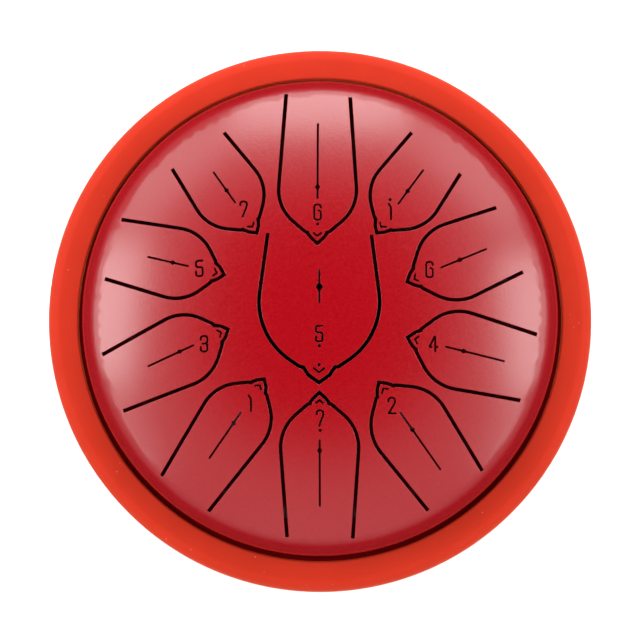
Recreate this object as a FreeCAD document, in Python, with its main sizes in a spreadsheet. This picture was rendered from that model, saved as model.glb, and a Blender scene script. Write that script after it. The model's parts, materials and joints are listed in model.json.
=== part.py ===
"""Six-inch steel tongue drum with eleven notes, as a parametric FreeCAD document.

Millimetres, +Z up. The origin is on the drum's axis, at the level that its feet stand on.
+Y points at the tongue of the low 6, so that the numerals read upright when seen from above
with -Y nearest to the player.
"""
import FreeCAD
import Part
import Sketcher
import math
import os
from FreeCAD import Vector

SHEET = "Sizes"

SIZES = {
    # pressed steel shells
    "sheet_thickness": 1.2,
    "wall_radius": 69.7,        # outside of the upright wall, both shells
    "flange_width": 6.5,        # from the wall to the edge of the six-inch flange
    "top_height": 30.0,         # seam to the crown of the dome
    "dome_radius": 193.0,       # outside of the dome, a shallow part of a sphere
    "shoulder_radius": 8.0,
    "flange_bend_radius": 1.2,
    "bowl_depth": 38.0,         # seam to the underside of the bowl
    "bowl_draft": 5.7,          # how far the bowl's wall leans in on its way down
    "bowl_corner_radius": 16.0,
    "sound_hole_radius": 22.0,
    "lip_height": 4.5,          # lip of the sound hole, turned up into the bowl
    "lip_bend_radius": 1.5,
    # seam
    "bead_inset": 0.2,          # the bead ends this much short of each flange's outer face
    "bead_bulge": 0.7,
    # silicone band
    "band_gap": 1.4,            # between the wall and the band's lips
    "band_lip_thickness": 4.3,  # above and below the slot
    "band_wall": 2.8,           # outside the slot
    "band_outer_rounding": 3.5,
    "band_lip_rounding": 0.7,
    "band_clearance": 0.3,      # between the bead and the end of the slot
    # feet and what holds them
    "foot_outset": 1.65,        # from the middle of the bowl's flat floor outwards
    "foot_height": 7.0,
    "foot_wall": 2.0,           # round the recess, where the foot stands
    "foot_taper": 1.4,
    "foot_edge_rounding": 0.8,
    "washer_margin": 0.7,       # washer's edge beyond the screw's head
    "washer_thickness": 0.8,
    "washer_clearance": 0.3,    # round the washer in the foot's recess
    "screw_radius": 2.0,
    "screw_head_margin": 1.6,   # head's edge beyond the shank
    "screw_head_height": 1.9,
    "screw_head_rounding": 0.9,
    "screw_head_inset": 0.9,    # head above the level that the foot stands on
    "screw_end_length": 1.0,    # what stands out of the nut
    "screw_clearance": 0.25,
    "recess_margin": 1.9,       # from the ends of the cross recess to the head's edge
    "recess_half_width": 0.35,
    "recess_depth": 1.1,
    "nut_wall": 2.0,            # from the shank to the nut's corners
    "nut_height": 3.0,
    "nut_clearance": 0.05,
    # note pattern
    "pattern_radius": 69.7,     # wall radius that the note pattern is drawn for
    "slot_width": 1.05,
    "large_slot_width": 1.1,
    "root_gap": 0.02,           # between a tongue and the shell along the root line
    "stroke_width": 0.6,        # numerals, tuning slits and chevrons
    "dot_radius": 0.47,
    "dot_gap": 3.5,             # from a numeral's centre to its octave dot
    "chevron_width": 0.6,
}

# Half of the bead's section, as (share of its bulge, share of its half height).
BEAD_SECTION = [(0, 1), (0.6, 0.75), (1, 0.3)]

# Tongue shapes, from the tip outwards, in mm on the pattern: along the axis, then to one side.
# bud is the small ornamental tip; the side runs out from it at side_angle from the axis, rounds
# the shoulder and goes back inwards by taper degrees to the root.
SHAPES = {
    "small": dict(bud=[(0.4, 0), (1.95, 1.7), (3.2, 2.5), (3.6, 2.6), (3.75, 3.25)], side_angle=49.5,
                  shoulder=12.0, half_width=10.35, widest_at=15.0, taper=4.0, diamond_at=15.85,
                  diamond_half=0.75, setback=0.8, chevron=[(3.45, 1.05), (2.6, 0), (3.45, -1.05)]),
    "medium": dict(bud=[(0.4, 0), (2.05, 1.8), (3.2, 2.65), (3.65, 2.75), (3.75, 3.4)], side_angle=49.5,
                   shoulder=12.5, half_width=11.3, widest_at=17.0, taper=4.0, diamond_at=17.1,
                   diamond_half=0.8, setback=0.8, chevron=[(3.45, 1.05), (2.6, 0), (3.45, -1.05)]),
    "large": dict(bud=[(0.15, 0), (2.35, 3.1), (4.2, 4.3), (4.6, 4.5), (4.75, 5.6)], side_angle=56.0,
                  shoulder=20.5, half_width=17.55, widest_at=24.5, taper=7.6, diamond_at=27.9,
                  diamond_half=1.1, setback=4.4, chevron=[(4.35, 1.55), (3.1, 0), (4.35, -1.55)]),
}

# One row per note: tip (x, y), direction from tip to root in degrees, length of the slot's left
# and right leg, start and end of the tuning slit along the axis, numeral's place from the tip,
# numeral, and the side of its octave dot (-1 below, 1 above, 0 none).
NOTES = {
    "low_5": ("large", (-0.5, -20.3), 89.2, (43.6, 43.2), (23.5, 32.7), (0.2, 14.3), "5", -1),
    "low_6": ("medium", (-0.6, 19.9), 89.1, (45.2, 44.2), (13.8, 36.0), (0.2, 9.6), "6", -1),
    "low_7": ("medium", (-0.4, -22.6), -90.4, (42.3, 41.8), (14.2, 32.9), (0.1, -7.8), "7", -1),
    "1": ("small", (-16.1, -18.6), 234.2, (40.8, 40.2), (12.3, 28.0), (-4.4, -7.2), "1", 0),
    "2": ("medium", (16.6, -19.9), -54.9, (38.4, 38.6), (11.2, 31.0), (3.9, -7.0), "2", 0),
    "3": ("small", (-26.3, -4.2), 203.4, (37.8, 36.7), (11.5, 25.8), (-7.4, -4.2), "3", 0),
    "4": ("medium", (24.9, -7.2), -13.5, (36.9, 36.4), (11.8, 29.2), (7.9, -1.8), "4", 0),
    "5": ("small", (-27.3, 11.5), 165.3, (34.1, 33.7), (11.3, 23.3), (-7.6, 2.1), "5", 0),
    "6": ("medium", (25.0, 8.8), 22.7, (33.2, 32.8), (11.2, 25.5), (6.9, 3.7), "6", 0),
    "7": ("small", (-17.9, 23.3), 124.2, (30.5, 30.6), (11.5, 22.5), (-4.0, 7.5), "7", 0),
    "high_1": ("small", (16.5, 22.9), 53.7, (30.9, 29.2), (11.2, 23.6), (4.2, 6.7), "1", 1),
}

# Numerals as strokes with rounded bends, in mm about their centre. They are stencilled: no
# stroke closes a loop, so that nothing falls out of the sheet.
NUMERALS = {
    "1": (1.5, [[(-0.45, 2.25), (0.25, 1.3), (0.2, -2.25)]]),
    "2": (0.85, [[(-0.95, 1.1), (-0.95, 2.25), (0.95, 2.25), (0.95, 0.8), (-0.9, -2.25)],
                 [(-0.9, -2.25), (1.05, -2.25)]]),
    "3": (0.7, [[(-0.95, 1.15), (-0.95, 2.25), (0.95, 2.25), (0.95, 0.05), (-0.45, 0.05)],
                [(0.25, 0.05), (0.95, 0.05), (0.95, -2.25), (-0.95, -2.25), (-0.95, -0.95)]]),
    "4": (0.1, [[(-0.55, -1.0), (-1.2, -1.0), (0.5, 2.25), (0.5, -2.25)],
                [(0.5, -1.0), (1.15, -1.0)]]),
    "5": (0.6, [[(0.95, 2.25), (-0.95, 2.25), (-0.95, 0.35), (0.95, 0.35), (0.95, -2.25),
                 (-0.95, -2.25), (-0.95, -0.85)]]),
    "6": (0.75, [[(0.95, 1.35), (0.95, 2.25), (-0.95, 2.25), (-0.95, -2.25), (0.95, -2.25),
                  (0.95, 0.4), (0.25, 0.45)]]),
    "7": (0.8, [[(-0.95, 1.15), (-0.95, 2.25), (0.95, 2.25), (0.95, 0.9), (-0.3, -2.25)]]),
}

FOOT_PLACES = {"back_right": 45, "back_left": 135, "front_left": 225, "front_right": 315}


class Size:
    """A size from the sheet, or a sum of such sizes: its expression and its value."""

    def __init__(self, text, value):
        self.text = text
        self.value = value

    def joined(self, sign, other, result):
        text, value = (other.text, other.value) if isinstance(other, Size) else (repr(other), other)
        return Size(f"({self.text} {sign} {text})", result(self.value, value))

    def __add__(self, other):
        return self.joined("+", other, lambda a, b: a + b)

    def __sub__(self, other):
        return self.joined("-", other, lambda a, b: a - b)

    def __mul__(self, other):
        return self.joined("*", other, lambda a, b: a * b)

    def __truediv__(self, other):
        return self.joined("/", other, lambda a, b: a / b)

    def root(self):
        return Size(f"sqrt({self.text})", math.sqrt(self.value))


def make_sheet(doc):
    sheet = doc.addObject("Spreadsheet::Sheet", SHEET)
    for row, (alias, value) in enumerate(SIZES.items(), start=1):
        sheet.set(f"A{row}", alias)
        sheet.set(f"B{row}", str(value))
        sheet.setAlias(f"B{row}", alias)
    doc.recompute()
    return {alias: Size(f"{SHEET}.{alias}", float(sheet.get(alias))) for alias in SIZES}


def fitted_sizes(s):
    """Adds the sizes that follow from the sheet's own, so that the pieces fit each other."""
    s["flange_radius"] = s["wall_radius"] + s["flange_width"]
    s["bowl_floor_radius"] = s["wall_radius"] - s["bowl_draft"]
    s["bead_half_height"] = s["sheet_thickness"] - s["bead_inset"]
    s["band_lip_radius"] = s["wall_radius"] + s["band_gap"]
    s["band_slot_radius"] = s["flange_radius"] + s["bead_bulge"] + s["band_clearance"]
    s["band_radius"] = s["band_slot_radius"] + s["band_wall"]
    s["band_half_height"] = s["sheet_thickness"] + s["band_lip_thickness"]
    s["screw_head_radius"] = s["screw_radius"] + s["screw_head_margin"]
    s["recess_half_length"] = s["screw_head_radius"] - s["recess_margin"]
    s["washer_radius"] = s["screw_head_radius"] + s["washer_margin"]
    s["nut_corner_radius"] = s["screw_radius"] + s["nut_wall"]
    s["foot_recess_radius"] = s["washer_radius"] + s["washer_clearance"]
    s["foot_recess_depth"] = s["washer_thickness"] + s["screw_head_height"] + s["screw_head_inset"]
    s["foot_base_radius"] = s["foot_recess_radius"] + s["foot_wall"]
    s["foot_top_radius"] = s["foot_base_radius"] + s["foot_taper"]
    floor_inside = s["sound_hole_radius"] + s["sheet_thickness"] + s["lip_bend_radius"]
    floor_outside = s["bowl_floor_radius"] - s["bowl_corner_radius"]
    s["foot_circle_radius"] = (floor_inside + floor_outside) / 2.0 + s["foot_outset"]
    return s


# ---- sketched bodies -------------------------------------------------------------------------

def new_body(doc, label):
    body = doc.addObject("PartDesign::Body", "Body_" + label)
    body.Label = label
    return body


def plane(body, role):
    return next(item for item in body.Origin.OriginFeatures if item.Role == role)


def new_sketch(body, name, role, lift=None):
    sketch = body.newObject("Sketcher::SketchObject", name)
    sketch.AttachmentSupport = [(plane(body, role), "")]
    sketch.MapMode = "FlatFace"
    if lift is not None:
        sketch.setExpression("AttachmentOffset.Base.z", lift.text)
    return sketch


def pin(sketch, name, element, point, place):
    """Holds a point of the sketch at a place given by two sizes, or on the upright axis."""
    across, up = place
    if across is None:
        sketch.addConstraint(Sketcher.Constraint("PointOnObject", element, point, -2))
    else:
        index = sketch.addConstraint(Sketcher.Constraint("DistanceX", -1, 1, element, point, across.value))
        sketch.renameConstraint(index, name + "_across")
        sketch.setExpression(f"Constraints.{name}_across", across.text)
    index = sketch.addConstraint(Sketcher.Constraint("DistanceY", -1, 1, element, point, up.value))
    sketch.renameConstraint(index, name + "_up")
    sketch.setExpression(f"Constraints.{name}_up", up.text)


def draw_outline(sketch, corners, dome_edges=()):
    """Draws a closed outline through the corners. An edge in dome_edges is an arc about a centre
    on the upright axis, whose radius is given there; every other edge is a straight line."""
    points = [Vector(0 if x is None else x.value, y.value, 0) for x, y in corners]
    radii = dict(dome_edges)
    for index, start in enumerate(points):
        end = points[(index + 1) % len(points)]
        if index in radii:
            radius = radii[index].value
            crown = max(start.y, end.y)
            centre = Vector(0, crown - radius, 0)
            angles = sorted(math.atan2(p.y - centre.y, p.x) for p in (start, end))
            circle = Part.Circle(centre, Vector(0, 0, 1), radius)
            sketch.addGeometry(Part.ArcOfCircle(circle, *angles), False)
        else:
            sketch.addGeometry(Part.LineSegment(start, end), False)

    def ends(index):
        """Numbers of the element's points at the outline's start and end of it."""
        if index in radii and points[index].x < points[(index + 1) % len(points)].x:
            return 2, 1
        return 1, 2

    for index in range(len(points)):
        following = (index + 1) % len(points)
        sketch.addConstraint(Sketcher.Constraint("Coincident", index, ends(index)[1],
                                                 following, ends(following)[0]))
    for index, corner in enumerate(corners):
        pin(sketch, f"corner_{index}", index, ends(index)[0], corner)
    for index in radii:
        sketch.addConstraint(Sketcher.Constraint("PointOnObject", index, 3, -2))


def turned(body, sketch, axis="V_Axis"):
    feature = body.newObject("PartDesign::Revolution", "Turn")
    feature.Profile = sketch
    feature.ReferenceAxis = (sketch, [axis])
    feature.Angle = 360
    return feature


def bend(body, base, name, radius, circles):
    """Rounds the circular edges that have the given radius and height, each a pair of sizes."""
    body.Document.recompute()
    names = []
    for across, up in circles:
        for number, edge in enumerate(base.Shape.Edges, start=1):
            if edge.Degenerated or not isinstance(edge.Curve, Part.Circle):
                continue
            centre, radius_found = edge.Curve.Center, edge.Curve.Radius
            if abs(radius_found - across.value) < 1e-4 and abs(centre.z - up.value) < 1e-4:
                names.append(f"Edge{number}")
    if len(names) != len(circles):
        raise RuntimeError(f"{body.Label}: {name} found {len(names)} of {len(circles)} edges")
    fillet = body.newObject("PartDesign::Fillet", name)
    fillet.Base = (base, names)
    fillet.Radius = radius.value
    fillet.setExpression("Radius", radius.text)
    return fillet


def foot_pattern(body, sketch, features):
    """Repeats the features at each foot, about the drum's axis."""
    pattern = body.newObject("PartDesign::PolarPattern", "Feet")
    pattern.Originals = features
    pattern.Axis = (sketch, ["N_Axis"])
    pattern.Angle = 360
    pattern.Occurrences = len(FOOT_PLACES)
    body.Tip = pattern


# ---- shells, seam and band -------------------------------------------------------------------

def make_top_blank(doc, s):
    """The pressed top before its tongues are cut: dome, wall and flange in one sheet."""
    body = new_body(doc, "top_blank")
    sheet = s["sheet_thickness"]
    seam = s["foot_height"] + s["bowl_depth"]
    crown = seam + s["top_height"]

    def dome_edge(radius, apex, across):
        return apex - radius + (radius * radius - across * across).root()

    inner_wall = s["wall_radius"] - sheet
    outer_edge = dome_edge(s["dome_radius"], crown, s["wall_radius"])
    inner_edge = dome_edge(s["dome_radius"] - sheet, crown - sheet, inner_wall)
    sketch = new_sketch(body, "TopSection", "XZ_Plane")
    corners = [(None, crown), (s["wall_radius"], outer_edge), (s["wall_radius"], seam + sheet),
               (s["flange_radius"], seam + sheet), (s["flange_radius"], seam), (inner_wall, seam),
               (inner_wall, inner_edge), (None, crown - sheet)]
    draw_outline(sketch, corners, {0: s["dome_radius"], 6: s["dome_radius"] - sheet})
    shape = turned(body, sketch)
    shape = bend(body, shape, "Shoulder", s["shoulder_radius"], [(s["wall_radius"], outer_edge)])
    shape = bend(body, shape, "ShoulderInside", s["shoulder_radius"] - sheet, [(inner_wall, inner_edge)])
    shape = bend(body, shape, "FlangeBend", s["flange_bend_radius"], [(s["wall_radius"], seam + sheet)])
    bend(body, shape, "FlangeBendInside", s["flange_bend_radius"] + sheet, [(inner_wall, seam)])
    return body


def make_bottom_shell(doc, s):
    """The pressed bowl, with its flange, the turned-in lip of the sound hole and the foot holes."""
    body = new_body(doc, "bottom_shell")
    sheet = s["sheet_thickness"]
    floor = s["foot_height"]
    seam = floor + s["bowl_depth"]
    inner_wall = s["wall_radius"] - sheet
    inner_floor_radius = s["bowl_floor_radius"] - sheet
    lip_inside = s["sound_hole_radius"] + sheet
    sketch = new_sketch(body, "BowlSection", "XZ_Plane")
    corners = [(s["sound_hole_radius"], floor + s["lip_height"]), (s["sound_hole_radius"], floor),
               (s["bowl_floor_radius"], floor), (s["wall_radius"], seam - sheet),
               (s["flange_radius"], seam - sheet), (s["flange_radius"], seam), (inner_wall, seam),
               (inner_floor_radius, floor + sheet), (lip_inside, floor + sheet),
               (lip_inside, floor + s["lip_height"])]
    draw_outline(sketch, corners)
    shape = turned(body, sketch)
    shape = bend(body, shape, "Corner", s["bowl_corner_radius"], [(s["bowl_floor_radius"], floor)])
    shape = bend(body, shape, "CornerInside", s["bowl_corner_radius"] - sheet,
                 [(inner_floor_radius, floor + sheet)])
    shape = bend(body, shape, "FlangeBend", s["flange_bend_radius"], [(s["wall_radius"], seam - sheet)])
    shape = bend(body, shape, "FlangeBendInside", s["flange_bend_radius"] + sheet, [(inner_wall, seam)])
    shape = bend(body, shape, "LipBend", s["lip_bend_radius"] + sheet, [(s["sound_hole_radius"], floor)])
    bend(body, shape, "LipBendInside", s["lip_bend_radius"], [(lip_inside, floor + sheet)])
    holes = new_sketch(body, "FootHole", "XY_Plane")
    radius = s["screw_radius"] + s["screw_clearance"]
    draw_circle(holes, s["foot_circle_radius"], radius)
    pocket = body.newObject("PartDesign::Pocket", "FootHoles")
    pocket.Profile = holes
    pocket.Type = "Length"
    pocket.Length = 1
    pocket.setExpression("Length", (floor + sheet + s["lip_bend_radius"]).text)
    pocket.Reversed = True
    foot_pattern(body, holes, [pocket])
    turn_to_feet(body)
    return body


def draw_circle(sketch, across, radius):
    """A circle on the sketch's level axis, at the distance across."""
    index = sketch.addGeometry(Part.Circle(Vector(across.value, 0, 0), Vector(0, 0, 1), radius.value), False)
    sketch.addConstraint(Sketcher.Constraint("PointOnObject", index, 3, -1))
    rules = (("across", Sketcher.Constraint("DistanceX", -1, 1, index, 3, across.value), across),
             ("radius", Sketcher.Constraint("Radius", index, radius.value), radius))
    for name, rule, size in rules:
        number = sketch.addConstraint(rule)
        sketch.renameConstraint(number, name)
        sketch.setExpression(f"Constraints.{name}", size.text)


def turn_to_feet(body):
    """The feet stand on the diagonals, so what is drawn on the X axis turns to the first foot."""
    first = min(FOOT_PLACES.values())
    body.Placement = FreeCAD.Placement(Vector(0, 0, 0), FreeCAD.Rotation(Vector(0, 0, 1), first))


def make_seam_weld(doc, s):
    """The bead round the edges of the two flanges."""
    body = new_body(doc, "seam_weld")
    seam = s["foot_height"] + s["bowl_depth"]
    half = s["bead_half_height"]
    above = [(s["flange_radius"] + s["bead_bulge"] * out, half * up) for out, up in BEAD_SECTION]
    sketch = new_sketch(body, "BeadSection", "XZ_Plane")
    corners = [(across, seam - up) for across, up in above]
    draw_outline(sketch, corners + [(across, seam + up) for across, up in reversed(above)])
    turned(body, sketch)
    return body


def make_rim_ring(doc, s):
    """The silicone band: a ring with a slot that grips both flanges and clears the bead."""
    body = new_body(doc, "rim_ring")
    seam = s["foot_height"] + s["bowl_depth"]
    top = seam + s["band_half_height"]
    base = seam - s["band_half_height"]
    slot_top = seam + s["sheet_thickness"]
    slot_base = seam - s["sheet_thickness"]
    slot_end = s["band_slot_radius"]
    lip = s["band_lip_radius"]
    outer = s["band_radius"]
    sketch = new_sketch(body, "BandSection", "XZ_Plane")
    draw_outline(sketch, [(lip, top), (outer, top), (outer, base), (lip, base), (lip, slot_base),
                          (slot_end, slot_base), (slot_end, slot_top), (lip, slot_top)])
    shape = turned(body, sketch)
    shape = bend(body, shape, "OuterRounding", s["band_outer_rounding"], [(outer, top), (outer, base)])
    bend(body, shape, "LipRounding", s["band_lip_rounding"], [(lip, top), (lip, base)])
    return body


# ---- feet and fasteners ----------------------------------------------------------------------

def make_foot(doc, s, name, angle):
    """A tapered rubber foot with a recess from below for the washer and the screw's head."""
    body = new_body(doc, "foot_" + name)
    sketch = new_sketch(body, "FootSection", "XZ_Plane")
    bore = s["screw_radius"] + s["screw_clearance"]
    zero = s["foot_height"] - s["foot_height"]
    draw_outline(sketch, [(bore, s["foot_height"]), (s["foot_top_radius"], s["foot_height"]),
                          (s["foot_base_radius"], zero), (s["foot_recess_radius"], zero),
                          (s["foot_recess_radius"], s["foot_recess_depth"]), (bore, s["foot_recess_depth"])])
    shape = turned(body, sketch)
    bend(body, shape, "Edges", s["foot_edge_rounding"],
         [(s["foot_top_radius"], s["foot_height"]), (s["foot_base_radius"], zero)])
    circle = s["foot_circle_radius"]
    body.setExpression("Placement.Base.x", (circle * math.cos(math.radians(angle))).text)
    body.setExpression("Placement.Base.y", (circle * math.sin(math.radians(angle))).text)
    return body


def make_fasteners(doc, s, label, half_section, features=()):
    """Identical turned fasteners, one at each foot. half_section lists (radius, height) corners."""
    body = new_body(doc, label)
    circle = s["foot_circle_radius"]
    sketch = new_sketch(body, "Section", "XZ_Plane")
    corners = [(circle + across if across is not None else circle, up) for across, up in half_section]
    draw_outline(sketch, corners)
    low, high = corners[0][1], corners[-1][1]
    line = sketch.addGeometry(Part.LineSegment(Vector(circle.value, low.value - 1, 0),
                                               Vector(circle.value, high.value + 1, 0)), True)
    sketch.addConstraint(Sketcher.Constraint("Vertical", line))
    pin(sketch, "axis", line, 1, (circle, low - 1.0))
    originals = [turned(body, sketch, "Axis0")]
    for add in features:
        originals.append(add(body))
    foot_pattern(body, plan_sketch(originals), originals)
    turn_to_feet(body)
    return body


def plan_sketch(features):
    """The sketch whose normal is the drum's axis."""
    body = features[0].getParentGeoFeatureGroup()
    guide = new_sketch(body, "Guide", "XY_Plane")
    guide.addGeometry(Part.Point(Vector(0, 0, 0)), True)
    guide.addConstraint(Sketcher.Constraint("Coincident", 0, 1, -1, 1))
    return guide


def make_screws(doc, s):
    """Pan-head screws with a cross recess, put in from below."""
    head_top = s["foot_recess_depth"] - s["washer_thickness"]
    head_base = head_top - s["screw_head_height"]
    end = s["foot_height"] + s["sheet_thickness"] + s["nut_height"] + s["screw_end_length"]
    circle = s["foot_circle_radius"]

    def recess(long_across):
        across, along = s["recess_half_length"], s["recess_half_width"]
        if not long_across:
            across, along = along, across

        def add(body):
            sketch = new_sketch(body, "Recess", "XY_Plane", head_base)
            draw_outline(sketch, [(circle - across, along * -1), (circle + across, along * -1),
                                  (circle + across, along), (circle - across, along)])
            pocket = body.newObject("PartDesign::Pocket", "RecessCut")
            pocket.Profile = sketch
            pocket.Length = 1
            pocket.setExpression("Length", s["recess_depth"].text)
            pocket.Reversed = True
            return pocket
        return add

    chamfer = s["screw_head_rounding"]
    section = [(None, head_base), (s["screw_head_radius"] - chamfer, head_base),
               (s["screw_head_radius"], head_base + chamfer), (s["screw_head_radius"], head_top),
               (s["screw_radius"], head_top), (s["screw_radius"], end), (None, end)]
    return make_fasteners(doc, s, "foot_screws", section, [recess(True), recess(False)])


def make_washers(doc, s):
    top = s["foot_recess_depth"]
    base = top - s["washer_thickness"]
    bore = s["screw_radius"] + s["screw_clearance"]
    section = [(bore, base), (s["washer_radius"], base), (s["washer_radius"], top), (bore, top)]
    return make_fasteners(doc, s, "foot_washers", section)


def make_nuts(doc, s):
    """Hexagon nuts on the bowl's floor, inside the drum."""
    body = new_body(doc, "foot_nuts")
    circle = s["foot_circle_radius"]
    floor = s["foot_height"] + s["sheet_thickness"]
    reach = s["nut_corner_radius"]
    hexagon = new_sketch(body, "Hexagon", "XY_Plane", floor)
    turns = [math.radians(60 * side + 30) for side in range(6)]
    draw_outline(hexagon, [(circle + reach * math.cos(turn), reach * math.sin(turn)) for turn in turns])
    pad = body.newObject("PartDesign::Pad", "Nut")
    pad.Profile = hexagon
    pad.Length = 1
    pad.setExpression("Length", s["nut_height"].text)
    bore = new_sketch(body, "Bore", "XY_Plane", floor)
    draw_circle(bore, circle, s["screw_radius"] + s["nut_clearance"])
    pocket = body.newObject("PartDesign::Pocket", "BoreCut")
    pocket.Profile = bore
    pocket.Length = 1
    pocket.setExpression("Length", (s["nut_height"] + 1.0).text)
    pocket.Reversed = True
    foot_pattern(body, hexagon, [pad, pocket])
    turn_to_feet(body)
    return body


# ---- note pattern ----------------------------------------------------------------------------

def offset_line(points, distance):
    """The open line moved sideways, to its left, with mitred corners."""
    moved = []
    for index, point in enumerate(points):
        before = points[max(index - 1, 0)]
        after = points[min(index + 1, len(points) - 1)]
        normals = []
        for start, end in ((before, point), (point, after)):
            if (end - start).Length > 0:
                along = (end - start).normalize()
                normals.append(Vector(-along.y, along.x, 0))
        mitre = sum(normals[1:], normals[0])
        moved.append(point + mitre * (distance * len(normals) / mitre.dot(mitre)))
    return moved


def rounded_line(points, radii):
    """An open wire through the points, with an arc of its radius at each corner between the ends.
    Where two arcs don't fit on the line between their corners, both give way alike."""
    last = len(points) - 1
    openings = [0.0] * len(points)
    reaches = [0.0] * len(points)
    for index in range(1, last):
        opening = (points[index - 1] - points[index]).getAngle(points[index + 1] - points[index])
        openings[index] = opening
        reaches[index] = radii[index] / math.tan(opening / 2)
    shares = [1.0] * len(points)
    for index in range(last):
        room = 0.98 * (points[index + 1] - points[index]).Length
        share = room / max(reaches[index] + reaches[index + 1], room)
        shares[index] = min(shares[index], share)
        shares[index + 1] = min(shares[index + 1], share)
    chain = []
    start = points[0]
    for index in range(1, last + 1):
        point = points[index]
        reach = reaches[index] * shares[index]
        if reach < 1e-3:
            chain.append(Part.LineSegment(start, point).toShape())
            start = point
            continue
        back = (points[index - 1] - point).normalize()
        on = (points[index + 1] - point).normalize()
        half = openings[index] / 2
        to_arc = reach / math.cos(half) - reach * math.tan(half)
        middle = point + (back + on).normalize() * to_arc
        end = point + back * reach
        if (end - start).Length > 1e-6:
            chain.append(Part.LineSegment(start, end).toShape())
        start = point + on * reach
        chain.append(Part.Arc(end, middle, start).toShape())
    return Part.Wire(chain)


def stroke(points, radius, width):
    """The flat face of a pen stroke with round ends."""
    points = [Vector(x, y, 0) for x, y in points]
    half = width / 2
    if len(points) > 2:
        wire = rounded_line(points, [radius] * len(points))
        return Part.Face(wire.makeOffset2D(half, 0, False, False))
    left, right = offset_line(points, half), offset_line(points, -half)
    along = (points[1] - points[0]).normalize() * half
    edges = [Part.LineSegment(left[0], left[1]).toShape(),
             Part.Arc(left[1], points[1] + along, right[1]).toShape(),
             Part.LineSegment(right[1], right[0]).toShape(),
             Part.Arc(right[0], points[0] - along, left[0]).toShape()]
    return Part.Face(Part.Wire(edges))


def tongue_frame(note, scale):
    """Placement of a tongue's own drawing, whose X axis runs from its tip to its root."""
    tip, axis = NOTES[note][1], NOTES[note][2]
    return FreeCAD.Placement(Vector(tip[0] * scale, tip[1] * scale, 0),
                             FreeCAD.Rotation(Vector(0, 0, 1), axis))


def slot_centre_line(shape, legs, scale):
    """Corners of the slot's centre line from the left leg's end round the tip to the right."""
    side = math.radians(shape["side_angle"])
    taper = math.tan(math.radians(shape["taper"]))
    last = shape["bud"][-1]
    rise = math.tan(side)
    at_tip = shape["half_width"] + shape["widest_at"] * taper
    corner = (at_tip - last[1] + rise * last[0]) / (rise + taper)
    left = [(legs[0], at_tip - legs[0] * taper), (corner, at_tip - corner * taper)]
    right = [(legs[1], at_tip - legs[1] * taper), left[1]]
    bud = shape["bud"]
    points = left + bud[:0:-1] + [bud[0]] + [(x, -y) for x, y in bud[1:]]
    points += [(x, -y) for x, y in right[::-1]]
    return [Vector(x, y, 0) * scale for x, y in points]


def tongue_outline(note, scale, offset, beyond=0):
    """Closed face inside one edge of the slot: offset is half the slot's width, outwards or in.
    Its legs run on past the slot's ends by the length beyond."""
    shape = SHAPES[NOTES[note][0]]
    legs = [leg + beyond for leg in NOTES[note][3]]
    line = offset_line(slot_centre_line(shape, legs, scale), -offset)
    radii = [0.0] * len(line)
    radii[1] = radii[-2] = shape["shoulder"] * scale + offset
    radii[3] = radii[-4] = 0.5
    radii[5] = radii[-6] = 1.2
    wire = rounded_line(line, radii)
    closing = Part.LineSegment(line[-1], line[0]).toShape()
    return Part.Face(Part.Wire(wire.Edges + [closing]))


def band_across(start, end, reach):
    """A rectangle across a tongue's axis, from start to end along it."""
    corners = [Vector(start, -reach, 0), Vector(end, -reach, 0),
               Vector(end, reach, 0), Vector(start, reach, 0)]
    return Part.Face(Part.makePolygon(corners + corners[:1]))


def root_line(note, scale):
    """Distance from the tip to the line that the tongue bends about."""
    return (min(NOTES[note][3]) - SHAPES[NOTES[note][0]]["setback"]) * scale


def cut_marks(note, s, scale):
    """What is cut through the tongue: tuning slit with its diamond, chevron, numeral and dot."""
    kind, tip, axis, legs, slit, place, numeral, dot = NOTES[note]
    shape = SHAPES[kind]
    pen = s["stroke_width"].value
    faces = [stroke([(slit[0] * scale, 0), (slit[1] * scale, 0)], 0, pen)]
    middle, half = shape["diamond_at"] * scale, shape["diamond_half"]
    diamond = [Vector(middle - 1.5 * half, 0, 0), Vector(middle, half, 0),
               Vector(middle + 1.5 * half, 0, 0), Vector(middle, -half, 0)]
    faces.append(Part.Face(Part.makePolygon(diamond + diamond[:1])))
    chevron = [(x * scale, y * scale) for x, y in shape["chevron"]]
    faces.append(stroke(chevron, 0, s["chevron_width"].value))
    if kind == "large":
        point = [Vector(5.3 * scale + 0.62 * math.cos(turn), 0.62 * math.sin(turn), 0)
                 for turn in (0, math.pi / 2, math.pi, -math.pi / 2)]
        faces.append(Part.Face(Part.makePolygon(point + point[:1])))
    for face in faces:
        face.Placement = tongue_frame(note, scale).multiply(face.Placement)
    centre = Vector(tip[0] + place[0], tip[1] + place[1], 0) * scale
    bend_radius, strokes = NUMERALS[numeral]
    for points in strokes:
        face = stroke(points, bend_radius, pen)
        face.translate(centre)
        faces.append(face)
    if dot:
        spot = centre + Vector(0, dot * s["dot_gap"].value, 0)
        faces.append(Part.Face(Part.Wire(Part.makeCircle(s["dot_radius"].value, spot))))
    joined = faces[0].multiFuse(faces[1:])
    return joined.removeSplitter()


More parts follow.
